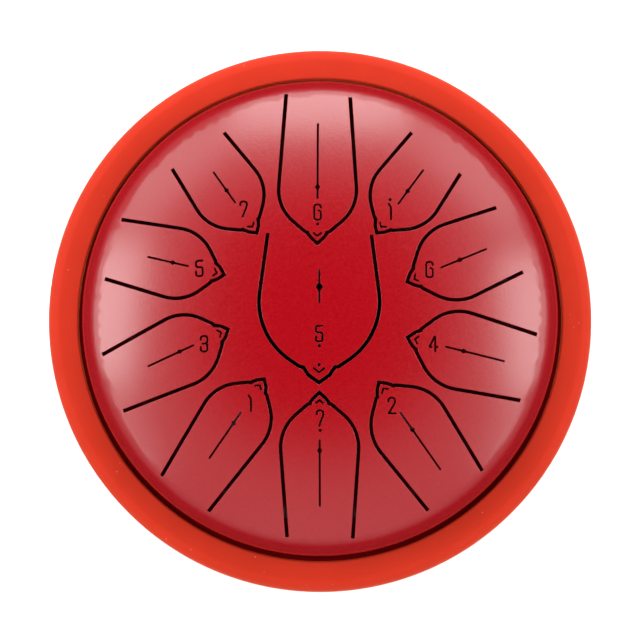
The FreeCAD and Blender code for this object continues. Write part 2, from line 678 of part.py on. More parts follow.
def tongue_cuts(note, s):
    """Two upright prisms: what the shell loses for a tongue, and what the tongue keeps."""
    scale = s["wall_radius"].value / s["pattern_radius"].value
    kind = NOTES[note][0]
    half_slot = s["large_slot_width" if kind == "large" else "slot_width"].value / 2
    outer = tongue_outline(note, scale, half_slot)
    inner = tongue_outline(note, scale, -half_slot, beyond=2 * half_slot)
    root = root_line(note, scale)
    gap = s["root_gap"].value / 2
    far = 2 * root
    kept = inner.cut(band_across(root - gap, far, far))
    behind_root = inner.common(band_across(root + gap, far, far))
    lost = outer.cut(behind_root)
    frame = tongue_frame(note, scale)
    kept.Placement = frame
    lost.Placement = frame
    kept = kept.cut(cut_marks(note, s, scale))
    seam = (s["foot_height"] + s["bowl_depth"]).value
    kept.translate(Vector(0, 0, seam))
    lost.translate(Vector(0, 0, seam))
    through = Vector(0, 0, s["top_height"].value + 1)
    return lost.extrude(through), kept.extrude(through)


def make_top(doc, s):
    """Cuts the blank into the slotted shell and its eleven tongues."""
    blank = make_top_blank(doc, s)
    cutters = []
    tongues = []
    for note in NOTES:
        lost, kept = tongue_cuts(note, s)
        cutter = doc.addObject("Part::Feature", "Cutter_" + note)
        cutter.Label = "cutter_" + note
        cutter.Shape = lost
        cutters.append(cutter)
        keeper = doc.addObject("Part::Feature", "Keeper_" + note)
        keeper.Label = "keeper_" + note
        keeper.Shape = kept
        tongue = doc.addObject("Part::MultiCommon", "Tongue_" + note)
        tongue.Label = "tongue_" + note
        tongue.Shapes = [blank, keeper]
        tongues.append(tongue)
    joined = doc.addObject("Part::MultiFuse", "Cutters")
    joined.Shapes = cutters
    shell = doc.addObject("Part::Cut", "TopShell")
    shell.Label = "top_shell"
    shell.Base = blank
    shell.Tool = joined
    return [shell] + tongues


def main():
    doc = FreeCAD.newDocument("tongue_drum")
    s = fitted_sizes(make_sheet(doc))
    nodes = make_top(doc, s)
    nodes.append(make_bottom_shell(doc, s))
    nodes.append(make_seam_weld(doc, s))
    nodes.append(make_rim_ring(doc, s))
    for name, angle in FOOT_PLACES.items():
        nodes.append(make_foot(doc, s, name, angle))
    nodes.append(make_screws(doc, s))
    nodes.append(make_washers(doc, s))
    nodes.append(make_nuts(doc, s))
    doc.recompute()

    for item in doc.Objects:
        if "Invalid" in item.State or "Error" in item.State:
            raise RuntimeError(f"{item.Label} failed: {item.State}")
    for node in nodes:
        if node.Shape.isNull() or not node.Shape.isValid():
            raise RuntimeError(f"{node.Label} has no valid shape")
        print(node.Label, len(node.Shape.Solids), "solid(s),", round(node.Shape.Volume, 1), "mm3")
    os.makedirs("parts", exist_ok=True)
    for node in nodes:
        node.Shape.exportStep(os.path.join("parts", node.Label + ".step"))


main()
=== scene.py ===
"""Looks of a small steel tongue drum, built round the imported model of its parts."""

import json
import math

import bmesh
import bpy
import numpy as np
from mathutils import Matrix, Vector
from mathutils.geometry import delaunay_2d_cdt
from mathutils.kdtree import KDTree


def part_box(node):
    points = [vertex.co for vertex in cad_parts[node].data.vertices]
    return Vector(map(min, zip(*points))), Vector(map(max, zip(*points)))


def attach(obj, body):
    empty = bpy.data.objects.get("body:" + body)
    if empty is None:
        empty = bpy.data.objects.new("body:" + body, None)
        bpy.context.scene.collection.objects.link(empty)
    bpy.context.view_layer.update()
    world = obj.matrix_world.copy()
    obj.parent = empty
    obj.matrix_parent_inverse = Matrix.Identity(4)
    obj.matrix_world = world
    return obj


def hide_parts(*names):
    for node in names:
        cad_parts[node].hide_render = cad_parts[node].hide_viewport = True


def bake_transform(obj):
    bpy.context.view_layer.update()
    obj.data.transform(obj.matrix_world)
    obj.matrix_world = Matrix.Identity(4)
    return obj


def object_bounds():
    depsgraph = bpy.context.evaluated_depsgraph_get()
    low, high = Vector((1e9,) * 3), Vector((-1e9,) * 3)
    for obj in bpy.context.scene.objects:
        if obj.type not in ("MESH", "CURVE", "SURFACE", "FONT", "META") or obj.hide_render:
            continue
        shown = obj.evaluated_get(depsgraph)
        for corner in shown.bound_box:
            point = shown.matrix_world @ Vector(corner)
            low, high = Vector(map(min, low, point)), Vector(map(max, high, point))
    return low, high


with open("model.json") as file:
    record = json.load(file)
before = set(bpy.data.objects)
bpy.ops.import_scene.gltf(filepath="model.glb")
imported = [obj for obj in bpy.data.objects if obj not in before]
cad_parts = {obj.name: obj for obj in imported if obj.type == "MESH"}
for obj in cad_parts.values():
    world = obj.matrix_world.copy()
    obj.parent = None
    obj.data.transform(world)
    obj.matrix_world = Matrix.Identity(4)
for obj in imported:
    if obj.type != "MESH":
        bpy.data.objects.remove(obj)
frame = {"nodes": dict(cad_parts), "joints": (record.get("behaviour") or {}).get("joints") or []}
cad_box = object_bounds()
nodes = frame["nodes"]

# Shapes are worked out in millimetres and turned into metres when a mesh is made.
MM = 0.001

# Reading the CAD outlines
WELD_DISTANCE = 0.001
FACE_TOLERANCE = 0.01
WALL_MARGIN = 0.5
ROOT_REACH = 0.05
SHORTEST_STEP = 0.02

# Pressed top shell
SHOULDER_RADIUS = 8.0
DOME_REACH = 55
RIM_RADIUS = 66.6
WALL_TO_FLANGE_EDGE = 6.5
FLANGE_BEND_RADIUS = 1.2
FLANGE_EDGE_ROUNDING = 0.25
CUT_ROUNDING = 0.11
MARK_ROUNDING = 0.05
CUT_STEPS = 4
SHELL_SEGMENTS = 288
SHELL_GRID = 2.4
TONGUE_GRID = 1.5
OUTLINE_STEP = 1.5
GRID_CLEARANCE = 0.45       # from the outlines, as a share of the grid's spacing
MITRE_LIMIT = 0.6
ROUNDING_SHRINK = 0.6       # each time a rounding has no room
SLIVER = 1e-6
CROSSING_TOLERANCE = 1e-7

# Silicone band
BAND_OUTER_ROUNDING = 3.5
BAND_LIP_ROUNDING = 0.7
BAND_SEGMENTS = 320
PARTING_RIDGE = 0.05
PARTING_HALF = 0.25
SLOT_EDGE_ROUNDING = 0.2

# Camera
TARGET_DISTANCE = 1.5
TILT = math.radians(4.4)
ROLL = math.radians(0.6)
SENSOR_WIDTH = 36.0
FOCAL_LENGTH = 285.7
LENS_SHIFT = (-0.0002, 0.0012)
CLIP_RANGE = (0.01, 20)

# Studio
FLOOR_RADIUS = 4
# Painted shadow: a near-black disc on the floor under the drum's middle, where the sound hole looks
# down
PAINTED_SHADOW_RADIUS = 0.027
PAINTED_SHADOW_EDGE = 0.004
FLOOR_GAP = 0.0002
BACKDROP_HEIGHT = 2
BOX_DISTANCE = 1.2
BOX_AIM = 0.06
# Grey of the room's light at each angle from straight up, in degrees
RING_LIGHT = [(0, 0.0), (14, 0.003), (20, 0.04), (24, 0.2), (29, 0.62), (35, 0.8), (68, 0.7),
              (80, 0.3), (90, 0.02)]
RING_STRENGTH = 1.5
# Name, azimuth from +X, angle from straight up, radiance, width, height, seen in reflections
SOFTBOXES = [
    ("box_back", 90, 49, 8.6, 0.70, 0.34, True),
    ("box_left", 172, 43.5, 9.2, 0.56, 0.30, True),
    ("box_right", 4, 43, 8.2, 0.54, 0.28, True),
    ("low_back", 90, 67, 4.2, 0.80, 0.36, True),
    ("low_left", 172, 61, 3.2, 0.66, 0.38, True),
    ("low_right", 4, 61, 2.9, 0.66, 0.38, True),
    ("side_back_left", 132, 48, 3.4, 0.50, 0.36, True),
    ("side_back_right", 46, 48, 3.2, 0.50, 0.36, True),
    ("side_left", 206, 46, 2.6, 0.34, 0.30, True),
    ("side_right", 333, 46, 2.6, 0.34, 0.30, True),
    ("fill_front", 270, 45, 5.0, 0.80, 0.34, False),
]


# ---------------------------------------------------------------- meshes

def points_of(node):
    """A CAD node's points in millimetres."""
    return np.array([vertex.co for vertex in nodes[node].data.vertices]) / MM


def unit(vectors):
    """The rows, each with length one."""
    return vectors / np.maximum(np.linalg.norm(vectors, axis=-1, keepdims=True), 1e-9)


def make_piece(name, points, faces, corner_normals, material):
    """An object from points in millimetres, its faces and a normal for each corner of a face."""
    mesh = bpy.data.meshes.new(name)
    mesh.from_pydata((np.array(points) * MM).tolist(), [], [list(map(int, face)) for face in faces])
    mesh.polygons.foreach_set("use_smooth", [True] * len(mesh.polygons))
    mark_sharp(mesh, corner_normals)
    mesh.normals_split_custom_set(corner_normals)
    mesh.update()
    piece = bpy.data.objects.new(name, mesh)
    bpy.context.scene.collection.objects.link(piece)
    mesh.materials.append(material)
    return piece


def mark_sharp(mesh, corner_normals):
    """Marks the edges whose two faces don't share their normals."""
    met = {}
    sharp = [False] * len(mesh.edges)
    for face in mesh.polygons:
        corners = list(face.loop_indices)
        for here, ahead in zip(corners, corners[1:] + corners[:1]):
            edge = mesh.loops[here].edge_index
            pair = (corner_normals[here], corner_normals[ahead])
            if edge in met:
                other = met[edge]
                sharp[edge] = min(np.dot(pair[0], other[1]), np.dot(pair[1], other[0])) < 0.99
            met[edge] = pair
    mesh.edges.foreach_set("use_edge_sharp", sharp)


def arc(centre, radius, start, end, steps):
    """Rows (r, z, outward r, outward z) along an arc of a profile, angles in degrees from +r."""
    rows = []
    for angle in np.radians(np.linspace(start, end, steps + 1)):
        across, up = math.cos(angle), math.sin(angle)
        rows.append((centre[0] + radius * across, centre[1] + radius * up, across, up))
    return rows


def hollow_arc(centre, radius, start, end, steps):
    """As arc, for a bend whose solid side is outside the circle."""
    return [(r, z, -across, -up) for r, z, across, up in arc(centre, radius, start, end, steps)]


def straight(start, end, steps):
    """Rows along a straight stretch, without its two ends; the solid lies on the left."""
    run, rise = end[0] - start[0], end[1] - start[1]
    length = math.hypot(run, rise)
    rows = []
    for share in np.linspace(0, 1, steps + 1)[1:-1]:
        rows.append((start[0] + share * run, start[1] + share * rise, rise / length, -run / length))
    return rows


def spin(rows, segments, points, faces, normals, closed=True):
    """Turns a profile about Z into the lists and gives the index of each row's first point."""
    turns = np.arange(segments) * 2 * math.pi / segments
    starts = []
    for r, z, _across, _up in rows:
        starts.append(len(points))
        points.extend(zip(r * np.cos(turns), r * np.sin(turns), [z] * segments))
    pairs = list(zip(range(len(rows)), range(1, len(rows))))
    if closed:
        pairs.append((len(rows) - 1, 0))
    for lower, upper in pairs:
        join_rings(starts[lower], starts[upper], rows[lower], rows[upper], turns, faces, normals)
    return starts


def join_rings(first, second, row_a, row_b, turns, faces, normals):
    """Quads between two rings of points."""
    count = len(turns)
    for i in range(count):
        j = (i + 1) % count
        faces.append((first + i, first + j, second + j, second + i))
        corners = ((row_a, turns[i]), (row_a, turns[j]), (row_b, turns[j]), (row_b, turns[i]))
        for row, turn in corners:
            normals.append((row[2] * math.cos(turn), row[2] * math.sin(turn), row[3]))


# ---------------------------------------------------------------- the dome's cut sheet

class PressedTop:
    """The two faces of the pressed top: a dome that a shoulder rounds down into an upright wall."""

    def __init__(self):
        names = [name for name in nodes if name.startswith("tongue_")]
        points = np.concatenate([points_of(name) for name in names])
        crown = points[:, 2].max()
        points = points[np.hypot(points[:, 0], points[:, 1]) < DOME_REACH]
        drop = crown - points[:, 2]
        low = drop > 1
        across = np.hypot(points[low, 0], points[low, 1])
        self.radius = ((across ** 2 + drop[low] ** 2) / (2 * drop[low])).max()
        self.centre = crown - self.radius
        self.thickness = self.radius - np.linalg.norm(points - (0, 0, self.centre), axis=1).min()
        low_corner, high_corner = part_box("top_shell")
        self.seam = low_corner.z / MM
        self.flange_edge = high_corner.x / MM
        self.wall = self.flange_edge - WALL_TO_FLANGE_EDGE
        self.shoulder_across = self.wall - SHOULDER_RADIUS
        reach = self.radius - SHOULDER_RADIUS
        self.shoulder_up = self.centre + math.sqrt(reach ** 2 - self.shoulder_across ** 2)
        self.lean = math.atan2(self.shoulder_up - self.centre, self.shoulder_across)

    def surface(self, plan, inset=0.0):
        """Heights and normals above the plan points, on the outer face or that far inside it."""
        across = np.hypot(plan[:, 0], plan[:, 1])
        height = np.sqrt((self.radius - inset) ** 2 - across ** 2)
        lean = np.arctan2(height, across)
        height = self.centre + height
        bent = lean < self.lean
        beyond = np.clip((across - self.shoulder_across) / (SHOULDER_RADIUS - inset), 0, 1)
        bent_lean = np.arccos(beyond)
        bent_height = self.shoulder_up + (SHOULDER_RADIUS - inset) * np.sin(bent_lean)
        height = np.where(bent, bent_height, height)
        lean = np.where(bent, bent_lean, lean)
        way = plan / np.maximum(across, 1e-9)[:, None]
        return height, np.column_stack([way * np.cos(lean)[:, None], np.sin(lean)])

    def lift(self, plan, inset=0.0):
        """Points above the plan points."""
        return np.column_stack([plan, self.surface(plan, inset)[0]])

    def normal(self, plan):
        """The outer face's normals above the plan points."""
        return self.surface(plan)[1]


top = PressedTop()


def outlines_of(node):
    """The closed plan outlines of a CAD node's upper face, with the sheet on their left."""
    mesh = bmesh.new()
    mesh.from_mesh(nodes[node].data)
    bmesh.ops.remove_doubles(mesh, verts=mesh.verts, dist=WELD_DISTANCE * MM)
    mesh.verts.ensure_lookup_table()
    points = np.array([vertex.co for vertex in mesh.verts]) / MM
    near = np.hypot(points[:, 0], points[:, 1]) < top.wall - WALL_MARGIN
    height = top.surface(np.where(near[:, None], points[:, :2], 0))[0]
    upper = near & (np.abs(points[:, 2] - height) < FACE_TOLERANCE)
    faces = {face for face in mesh.faces
             if face.normal.z > 0.5 and all(upper[v.index] for v in face.verts)}
    following = {}
    for face in faces:
        for loop in face.loops:
            if sum(other in faces for other in loop.edge.link_faces) == 1:
                following[loop.vert] = loop.link_loop_next.vert
    outlines = []
    while following:
        vertex = next(iter(following))
        chain = []
        while vertex in following:
            chain.append(tuple(vertex.co / MM)[:2])
            vertex = following.pop(vertex)
        outlines.append(np.array(chain))
    mesh.free()
    return outlines


def area_of(outline):
    """Signed area: over zero for an outer outline, under zero for a hole."""
    ahead = np.roll(outline, -1, axis=0)
    return 0.5 * float((outline[:, 0] * ahead[:, 1] - outline[:, 1] * ahead[:, 0]).sum())


def root_of(joint, outline):
    """The two corners of a tongue's outline on its root line."""
    along = np.array(joint["axis"][:2])
    along /= np.linalg.norm(along)
    offset = outline - np.array(joint["pos_m"][:2]) / MM
    beside = np.abs(offset @ (-along[1], along[0])) < ROOT_REACH
    place = offset @ along
    place[~beside] = 0
    return outline[place.argmin()], outline[place.argmax()]


def root_points(start, end):
    """Evenly spaced points from one root corner to the other, both among them."""
    steps = max(2, round(np.linalg.norm(end - start) / OUTLINE_STEP))
    return start + np.linspace(0, 1, steps + 1)[:, None] * (end - start)


def tidy_outline(outline, root=None):
    """The outline with even steps, and a flag for each point on the root line."""
    on_root = np.zeros(len(outline), bool)
    if root is not None:
        start, end = root
        share = np.clip((outline - start) @ (end - start) / ((end - start) @ (end - start)), 0, 1)
        away = np.linalg.norm(outline - (start + share[:, None] * (end - start)), axis=1)
        on_root = away < ROOT_REACH
        first = int(np.flatnonzero(on_root & ~np.roll(on_root, 1))[0])
        outline = np.roll(outline, -first, axis=0)
        on_root = np.roll(on_root, -first)
        length = int(on_root.sum())
        run = root_points(start, end)
        if np.linalg.norm(outline[0] - start) > np.linalg.norm(outline[0] - end):
            run = run[::-1]
        outline = np.concatenate([run, outline[length:]])
        on_root = np.arange(len(outline)) < len(run)
    made, flags = [], []
    for i in range(len(outline)):
        here, ahead = outline[i], outline[(i + 1) % len(outline)]
        if made and not on_root[i] and np.linalg.norm(here - made[-1]) < SHORTEST_STEP:
            continue
        made.append(here)
        flags.append(bool(on_root[i]))
        gap = np.linalg.norm(ahead - here)
        if gap > OUTLINE_STEP and not (on_root[i] and on_root[(i + 1) % len(outline)]):
            for share in np.linspace(0, 1, math.ceil(gap / OUTLINE_STEP) + 1)[1:-1]:
                made.append(here + share * (ahead - here))
                flags.append(False)
    return np.array(made), np.array(flags)


def inward_of(outline, on_root):
    """At each outline point, the way into the sheet and the cut wall's outward normal."""
    ahead = unit(np.roll(outline, -1, axis=0) - outline)
    left = np.column_stack([-ahead[:, 1], ahead[:, 0]])
    before = np.roll(left, 1, axis=0)
    middle = unit(left + before)
    reach = 1 / np.maximum((middle * left).sum(axis=1), MITRE_LIMIT)
    way = middle * reach[:, None]
    wall = -middle
    for i in np.flatnonzero(on_root):
        if not on_root[i - 1]:
            way[i] = ahead[i]
            wall[i] = -before[i]
        elif not on_root[(i + 1) % len(outline)]:
            way[i] = -ahead[i - 1]
            wall[i] = -left[i]
    return way, wall


def inside(points, outlines):
    """Which points lie within the outlines, by counting crossings."""
    crossed = np.zeros(len(points), bool)
    for outline in outlines:
        ahead = np.roll(outline, -1, axis=0)
        for (x1, y1), (x2, y2) in zip(outline, ahead):
            if y1 == y2:
                continue
            spans = (points[:, 1] > y1) != (points[:, 1] > y2)
            crossed ^= spans & (points[:, 0] < x1 + (points[:, 1] - y1) * (x2 - x1) / (y2 - y1))
    return crossed


def grid_within(outlines, spacing):
    """Inner points on a triangular grid, kept clear of the outlines."""
    everything = np.concatenate(outlines)
    low, high = everything.min(axis=0), everything.max(axis=0)
    rows = np.arange(low[1], high[1], spacing * math.sqrt(0.75))
    found = []
    for number, y in enumerate(rows):
        shift = spacing / 2 * (number % 2)
        found.extend((x + shift, y) for x in np.arange(low[0], high[0], spacing))
    found = np.array(found)
    found = found[inside(found, outlines)]
    tree = KDTree(len(everything))
    for i, (x, y) in enumerate(everything):
        tree.insert((x, y, 0), i)
    tree.balance()
    clear = [tree.find((x, y, 0))[2] > GRID_CLEARANCE * spacing for x, y in found]
    return found[clear]


def fill(outlines, spacing):
    """Points and triangles that fill the outlines, whose own points come first, in order."""
    grid = grid_within(outlines, spacing)
    given = np.concatenate(outlines + [grid])
    edges = []
    first = 0
    for outline in outlines:
        count = len(outline)
        edges.extend((first + i, first + (i + 1) % count) for i in range(count))
        first += count
    found = delaunay_2d_cdt([Vector(p) for p in given.tolist()], edges, [], 0,
                            CROSSING_TOLERANCE)
    if len(found[0]) != len(given):
        raise ValueError(f"outlines cross: {len(found[0])} points from {len(given)}")
    back = [ids[0] for ids in found[3]]
    triangles = np.array([[back[i] for i in face] for face in found[2]])
    corners = given[triangles]
    along, across = corners[:, 1] - corners[:, 0], corners[:, 2] - corners[:, 0]
    wide = along[:, 0] * across[:, 1] - along[:, 1] * across[:, 0] > SLIVER
    return given, triangles[wide & inside(corners.mean(axis=1), outlines)]


def crosses(outline):
    """Whether a closed outline crosses itself."""
    count = len(outline)
    edges = [(i, (i + 1) % count) for i in range(count)]
    found = delaunay_2d_cdt([Vector(p) for p in outline.tolist()], edges, [], 0,
                            CROSSING_TOLERANCE)
    return len(found[0]) != count


def rounded_rings(plan, on_root, rounding):
    """A cut edge's rings, with the rounding made smaller where the outline has no room for it."""
    way, wall = inward_of(plan, on_root)
    rings = edge_rings(plan, on_root, rounding, way, wall)
    while crosses(rings[-1][0]):
        rounding *= ROUNDING_SHRINK
        rings = edge_rings(plan, on_root, rounding, way, wall)
    return rings


def cut_sheet(outlines, spacing, rim=None):
    """The cut sheet between the top's two faces: points, faces, corner normals, first low point.

    outlines holds (plan points, root flags, edge rounding). A rim is the pair of circles
    (upper, lower) where the sheet goes on into the pressed wall.
    """
    points, faces, normals = [], [], []
    upper, lower, rings = [], [], []
    if rim is not None:
        upper.append(rim[0])
        lower.append(rim[1])
    for plan, on_root, rounding in outlines:
        rings.append(rounded_rings(plan, on_root, rounding))
        upper.append(rings[-1][-1][0])
        lower.append(plan)
    top_plan, top_triangles = fill(upper, spacing)
    low_plan, low_triangles = fill(lower, spacing)
    points.extend(top.lift(top_plan))
    low_start = len(points)
    points.extend(top.lift(low_plan, top.thickness))
    top_normals, low_normals = top.normal(top_plan), -top.normal(low_plan)
    for triangle in top_triangles:
        faces.append(triangle)
        normals.extend(top_normals[triangle])
    for triangle in low_triangles[:, ::-1]:
        faces.append(triangle + low_start)
        normals.extend(low_normals[triangle])
    place = 0 if rim is None else len(rim[0])
    for (plan, on_root, _rounding), ring in zip(outlines, rings):
        add_edge(points, faces, normals, ring, on_root, place, low_start + place)
        place += len(plan)
    return points, faces, normals, low_start


def edge_rings(plan, on_root, rounding, way, wall):
    """The rings (plan, depth, normals) of a cut edge's rounding, from its wall to the upper face."""
    held = (on_root & np.roll(on_root, 1) & np.roll(on_root, -1))[:, None]
    rings = []
    for angle in np.linspace(0, math.pi / 2, CUT_STEPS + 1):
        moved = plan + way * rounding * (1 - math.cos(angle))
        moved = np.where(held, plan, moved)
        depth = rounding * (1 - math.sin(angle))
        lean = np.column_stack([wall * math.cos(angle), np.zeros(len(wall))])
        rings.append((moved, depth, unit(lean + top.normal(moved) * math.sin(angle))))
    return rings


def add_edge(points, faces, normals, rings, on_root, top_start, low_start):
    """The rounding and wall of one cut edge."""
    count = len(on_root)
    numbers = []
    for plan, depth, _normals in rings[:-1]:
        numbers.append(np.arange(count) + len(points))
        points.extend(top.lift(plan) - (0, 0, depth))
    numbers.append(np.arange(count) + top_start)
    low = np.arange(count) + low_start
    wall_normals = rings[0][2]
    for i in range(count):
        j = (i + 1) % count
        if on_root[i] and on_root[j]:
            add_root_wall(points, faces, normals, numbers, low, on_root, i, j)
            continue
        faces.append((low[i], low[j], numbers[0][j], numbers[0][i]))
        normals.extend((wall_normals[i], wall_normals[j], wall_normals[j], wall_normals[i]))
        for step in range(len(rings) - 1):
            near, far = numbers[step], numbers[step + 1]
            near_normals, far_normals = rings[step][2], rings[step + 1][2]
            faces.append((near[i], near[j], far[j], far[i]))
            normals.extend((near_normals[i], near_normals[j], far_normals[j], far_normals[i]))


def add_root_wall(points, faces, normals, numbers, low, on_root, i, j):
    """The flat wall under one step of a root line, with the cut edge's rounding at a corner."""
    count = len(on_root)
    corner = [low[i], low[j]]
    if on_root[(j + 1) % count]:
        corner.append(numbers[-1][j])
    else:
        corner.extend(ring[j] for ring in numbers)
    if on_root[i - 1]:
        corner.append(numbers[-1][i])
    else:
        corner.extend(ring[i] for ring in reversed(numbers))
    faces.append(corner)
    run = np.subtract(points[low[j]], points[low[i]])
    normals.extend([unit(np.array((run[1], -run[0], 0)))] * len(corner))


# ---------------------------------------------------------------- materials

def new_material(name):
    """An empty node material: its nodes, links and Principled shader."""
    material = bpy.data.materials.new(name)
    material.use_nodes = True
    tree = material.node_tree
    return material, tree, tree.nodes["Principled BSDF"]


def noise(tree, scale, detail=2.0, roughness=0.5):
    """Noise over the object's own coordinates; scale is in waves per metre."""
    place = tree.nodes.new("ShaderNodeTexCoord")
    node = tree.nodes.new("ShaderNodeTexNoise")
    node.inputs["Scale"].default_value = scale
    node.inputs["Detail"].default_value = detail
    node.inputs["Roughness"].default_value = roughness
    tree.links.new(place.outputs["Object"], node.inputs["Vector"])
    return node.outputs["Fac"]


def ramp(tree, source, low, high, start=0.0, end=1.0):
    """Colours from low to high as the source goes from start to end."""
    node = tree.nodes.new("ShaderNodeValToRGB")
    node.color_ramp.elements[0].position = start
    node.color_ramp.elements[0].color = (*low, 1)
    node.color_ramp.elements[1].position = end
    node.color_ramp.elements[1].color = (*high, 1)
    tree.links.new(source, node.inputs["Fac"])
    return node.outputs["Color"]


def span(tree, source, low, high, start=0.0, end=1.0):
    """A number from low to high as the source goes from start to end."""
    node = tree.nodes.new("ShaderNodeMapRange")
    node.inputs["From Min"].default_value = start
    node.inputs["From Max"].default_value = end
    node.inputs["To Min"].default_value = low
    node.inputs["To Max"].default_value = high
    tree.links.new(source, node.inputs["Value"])
    return node.outputs["Result"]


def bump(tree, source, distance, under=None):
    """A bump of that height in metres, over another bump if one is given."""
    node = tree.nodes.new("ShaderNodeBump")
    node.inputs["Distance"].default_value = distance
    node.inputs["Strength"].default_value = 1.0
    tree.links.new(source, node.inputs["Height"])
    if under is not None:
        tree.links.new(under, node.inputs["Normal"])
    return node.outputs["Normal"]


def powder_coat():
    """Semi-gloss red powder coat with a fine orange-peel surface."""
    material, tree, shader = new_material("red_powder_coat")
    cloud = noise(tree, 1500, 3, 0.6)
    colour = ramp(tree, cloud, (0.202, 0.0008, 0.0034), (0.236, 0.0012, 0.0044), 0.3, 0.7)
    tree.links.new(colour, shader.inputs["Base Color"])
    roughness = span(tree, noise(tree, 1500, 2), 0.17, 0.24, 0.3, 0.7)
    tree.links.new(roughness, shader.inputs["Roughness"])
    peel = bump(tree, noise(tree, 1600, 1.5, 0.4), 0.000016)
    grain = bump(tree, noise(tree, 5200, 1), 0.0000016, peel)
    tree.links.new(grain, shader.inputs["Normal"])
    return material


def silicone():
    """Matt orange-red silicone with specks of pale dust."""
    material, tree, shader = new_material("orange_silicone")
    colour = ramp(tree, noise(tree, 90, 3), (0.40, 0.022, 0.0085), (0.43, 0.024, 0.0095), 0.3, 0.7)
    speck = tree.nodes.new("ShaderNodeTexVoronoi")
    speck.inputs["Scale"].default_value = 420
    speck.inputs["Randomness"].default_value = 1.0
    place = tree.nodes.new("ShaderNodeTexCoord")
    tree.links.new(place.outputs["Object"], speck.inputs["Vector"])
    near = span(tree, speck.outputs["Distance"], 0.35, 0, 0.03, 0.12)
    few = span(tree, noise(tree, 150, 1), 0, 1, 0.60, 0.64)
    both = tree.nodes.new("ShaderNodeMath")
    both.operation = "MULTIPLY"
    tree.links.new(near, both.inputs[0])
    tree.links.new(few, both.inputs[1])
    mix = tree.nodes.new("ShaderNodeMix")
    mix.data_type = "RGBA"
    mix.inputs["B"].default_value = (0.9, 0.45, 0.33, 1)
    tree.links.new(both.outputs[0], mix.inputs["Factor"])
    tree.links.new(colour, mix.inputs["A"])
    tree.links.new(mix.outputs["Result"], shader.inputs["Base Color"])
    shader.inputs["Roughness"].default_value = 0.6
    shader.inputs["Specular IOR Level"].default_value = 0.06
    shader.inputs["Sheen Weight"].default_value = 0.35
    shader.inputs["Sheen Roughness"].default_value = 0.4
    shader.inputs["Sheen Tint"].default_value = (1.0, 0.33, 0.12, 1)
    shader.inputs["Subsurface Weight"].default_value = 0.25
    shader.inputs["Subsurface Radius"].default_value = (1.0, 0.25, 0.1)
    shader.inputs["Subsurface Scale"].default_value = 0.002
    fine = bump(tree, noise(tree, 2600, 2), 0.000006)
    tree.links.new(fine, shader.inputs["Normal"])
    return material


def black_rubber():
    """Black moulded rubber with a matt grain."""
    material, tree, shader = new_material("black_rubber")
    colour = ramp(tree, noise(tree, 500, 4), (0.012, 0.012, 0.013), (0.035, 0.034, 0.033), 0.3, 0.7)
    tree.links.new(colour, shader.inputs["Base Color"])
    tree.links.new(span(tree, noise(tree, 900, 2), 0.55, 0.75), shader.inputs["Roughness"])
    tree.links.new(bump(tree, noise(tree, 1900, 3), 0.00003), shader.inputs["Normal"])
    return material


def zinc():
    """Zinc-plated steel with a faint passivated tint."""
    material, tree, shader = new_material("zinc_steel")
    colour = ramp(tree, noise(tree, 420, 3), (0.52, 0.53, 0.56), (0.72, 0.70, 0.64), 0.3, 0.7)
    tree.links.new(colour, shader.inputs["Base Color"])
    shader.inputs["Metallic"].default_value = 1.0
    tree.links.new(span(tree, noise(tree, 1600, 3), 0.22, 0.42), shader.inputs["Roughness"])
    tree.links.new(bump(tree, noise(tree, 5200, 2), 0.000006), shader.inputs["Normal"])
    return material


def pale_floor():
    """Pale matt studio floor with a painted shadow: near-black under the middle, where the sound
    hole looks down on it.
    """
    material, tree, shader = new_material("studio_floor")
    pale = ramp(tree, noise(tree, 6, 2), (0.90, 0.90, 0.90), (0.94, 0.94, 0.94))
    place = tree.nodes.new("ShaderNodeTexCoord")
    away = tree.nodes.new("ShaderNodeVectorMath")
    away.operation = "LENGTH"
    tree.links.new(place.outputs["Object"], away.inputs[0])
    mix = tree.nodes.new("ShaderNodeMix")
    mix.data_type = "RGBA"
    # Painted shadow: near-black colour inside the disc under the sound hole, fading to the pale
    # floor over its edge
    mix.inputs["A"].default_value = (0.004, 0.003, 0.003, 1)
    outside = span(tree, away.outputs["Value"], 0, 1, PAINTED_SHADOW_RADIUS - PAINTED_SHADOW_EDGE, PAINTED_SHADOW_RADIUS)
    tree.links.new(outside, mix.inputs["Factor"])
    tree.links.new(pale, mix.inputs["B"])
    tree.links.new(mix.outputs["Result"], shader.inputs["Base Color"])
    shader.inputs["Roughness"].default_value = 0.9
    shader.inputs["Specular IOR Level"].default_value = 0.1
    return material


# ---------------------------------------------------------------- pieces

def circle(radius, segments):
    """Plan points of a circle."""
    turns = np.arange(segments) * 2 * math.pi / segments
    return np.column_stack([radius * np.cos(turns), radius * np.sin(turns)])


def shell_profile():
    """The pressed wall's rows, from the cut sheet's inner rim round the flange to its outer rim."""
    thick, seam, wall, reach = top.thickness, top.seam, top.wall, top.flange_edge
    middle = (top.shoulder_across, top.shoulder_up)
    bend = (wall + FLANGE_BEND_RADIUS, seam + thick + FLANGE_BEND_RADIUS)
    edge = FLANGE_EDGE_ROUNDING
    outer_lean = math.degrees(math.acos((RIM_RADIUS - middle[0]) / SHOULDER_RADIUS))
    inner_lean = math.degrees(math.acos((RIM_RADIUS - middle[0]) / (SHOULDER_RADIUS - thick)))
    rows = hollow_arc(middle, SHOULDER_RADIUS - thick, inner_lean, 0, 12)
    rows += arc(bend, FLANGE_BEND_RADIUS + thick, 180, 270, 6)
    rows += arc((reach - edge, seam + edge), edge, -90, 0, 4)
    rows += arc((reach - edge, seam + thick - edge), edge, 0, 90, 4)
    rows += hollow_arc(bend, FLANGE_BEND_RADIUS, 270, 180, 6)
    rows += straight((wall, bend[1]), (wall, top.shoulder_up), 4)
    return rows + arc(middle, SHOULDER_RADIUS, 0, outer_lean, 14)


